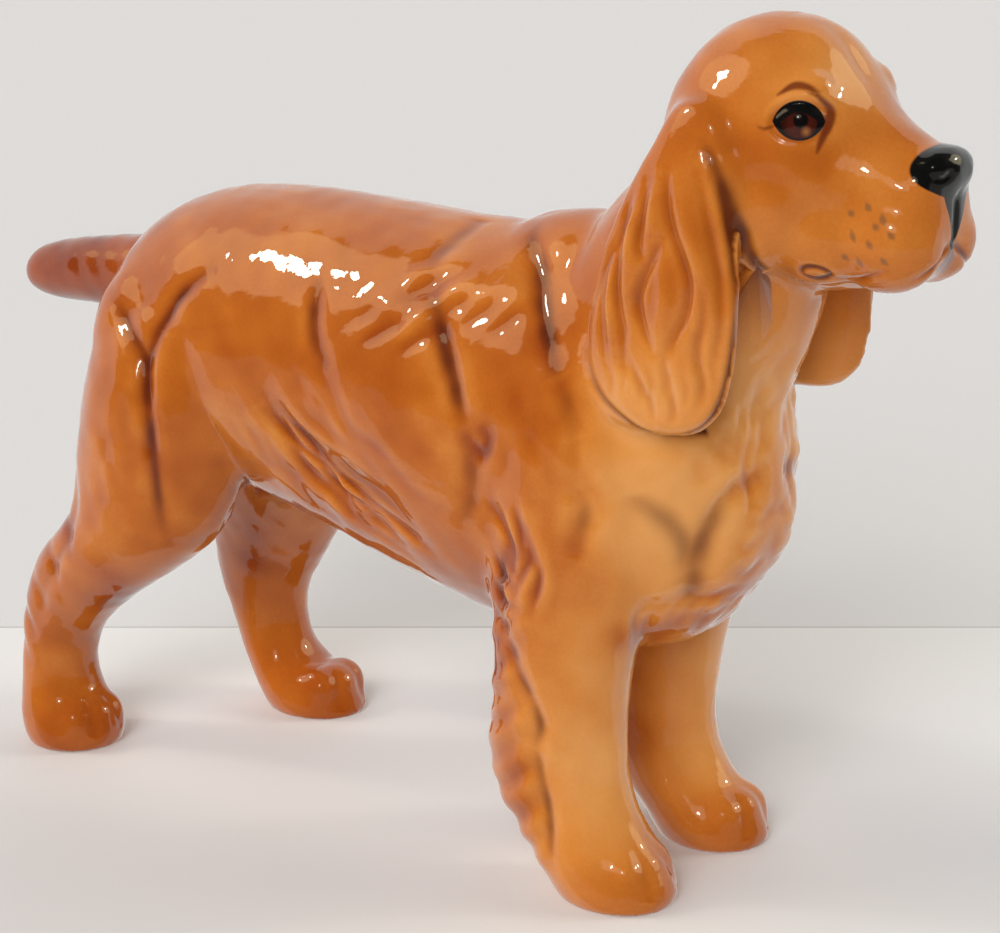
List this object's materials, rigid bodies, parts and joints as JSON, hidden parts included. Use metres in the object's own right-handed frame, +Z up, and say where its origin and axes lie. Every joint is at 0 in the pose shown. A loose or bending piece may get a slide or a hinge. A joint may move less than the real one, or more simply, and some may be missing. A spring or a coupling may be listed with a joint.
{
  "type": "ceramic dog figurine",
  "caption": "Standing spaniel ornament in gloss honey-brown glazed earthenware, with long wavy ears, a docked tail and painted eyes and nose; stands on its paws on a flat shelf.",
  "frame": {"origin": "on the surface that the paws stand on, under the middle of the figure's bounding box", "axes": "+X is the way the dog faces, +Y is its left side, +Z is up"},
  "size_m": [0.204, 0.0614, 0.1456],
  "materials": {
    "trunk_glaze": "gloss honey-brown glaze, airbrushed darker over back, flanks and creases",
    "head_glaze": "gloss honey-brown glaze with hand-painted black nose, dark eyes and whisker marks",
    "ear_glaze": "gloss honey-brown glaze, paler at the ear's lower edge, darker in the wavy grooves",
    "foreleg_glaze": "gloss pale honey glaze with a darker feathered rear edge",
    "hindleg_glaze": "gloss honey-brown glaze, darker at the hock",
    "tail_glaze": "gloss dark chestnut glaze"
  },
  "bodies": {
    "root": {"trunk_casting": "trunk_glaze", "head_casting": "head_glaze", "right_ear": "ear_glaze", "left_ear": "ear_glaze", "right_foreleg": "foreleg_glaze", "left_foreleg": "foreleg_glaze", "right_hindleg": "hindleg_glaze", "left_hindleg": "hindleg_glaze", "tail": "tail_glaze"}
  },
  "joints": []
}
